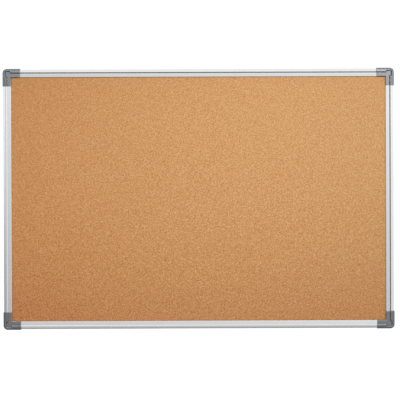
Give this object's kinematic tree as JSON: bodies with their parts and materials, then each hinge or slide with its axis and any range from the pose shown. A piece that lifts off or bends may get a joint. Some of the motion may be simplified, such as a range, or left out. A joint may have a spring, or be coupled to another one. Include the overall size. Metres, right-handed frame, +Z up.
{
  "type": "cork bulletin board",
  "caption": "Wall-mounted cork pin board in an anodised aluminium frame, with moulded corners whose L-shaped covers pull off over the wall screws.",
  "frame": {"origin": "centre of the board's outer box", "axes": "+X to the right and +Z up as seen from the front; -Y out of the cork face, towards the viewer; +Y towards the wall"},
  "size_m": [0.9, 0.017, 0.6],
  "materials": {
    "natural_cork": "fine-granule natural cork, unsealed",
    "softboard": "pressed wood fibre",
    "grey_card": "paper-faced backing, matt",
    "satin_aluminium": "natural anodised, satin",
    "grey_abs": "fine moulded texture",
    "zinc_plated_steel": "bright zinc plate"
  },
  "bodies": {
    "board": {"cork_sheet": "natural_cork", "softboard_core": "softboard", "backing_sheet": "grey_card", "rail_top": "satin_aluminium", "rail_bottom": "satin_aluminium", "rail_left": "satin_aluminium", "rail_right": "satin_aluminium", "corner_body_top_left": "grey_abs", "corner_body_top_right": "grey_abs", "corner_body_bottom_left": "grey_abs", "corner_body_bottom_right": "grey_abs", "screw_top_rail_left_end": "zinc_plated_steel", "screw_top_rail_right_end": "zinc_plated_steel", "screw_right_rail_top_end": "zinc_plated_steel", "screw_right_rail_bottom_end": "zinc_plated_steel", "screw_bottom_rail_left_end": "zinc_plated_steel", "screw_bottom_rail_right_end": "zinc_plated_steel", "screw_left_rail_top_end": "zinc_plated_steel", "screw_left_rail_bottom_end": "zinc_plated_steel"},
    "cover_top_left": {"corner_cover_top_left": "grey_abs"},
    "cover_top_right": {"corner_cover_top_right": "grey_abs"},
    "cover_bottom_left": {"corner_cover_bottom_left": "grey_abs"},
    "cover_bottom_right": {"corner_cover_bottom_right": "grey_abs"}
  },
  "joints": [
    {"name": "cover_top_left_pull", "type": "slide", "parent": "board", "child": "cover_top_left", "axis": [0, -1, 0], "range_m": [0, 0.012]},
    {"name": "cover_top_right_pull", "type": "slide", "parent": "board", "child": "cover_top_right", "axis": [0, -1, 0], "range_m": [0, 0.012]},
    {"name": "cover_bottom_left_pull", "type": "slide", "parent": "board", "child": "cover_bottom_left", "axis": [0, -1, 0], "range_m": [0, 0.012]},
    {"name": "cover_bottom_right_pull", "type": "slide", "parent": "board", "child": "cover_bottom_right", "axis": [0, -1, 0], "range_m": [0, 0.012]}
  ]
}
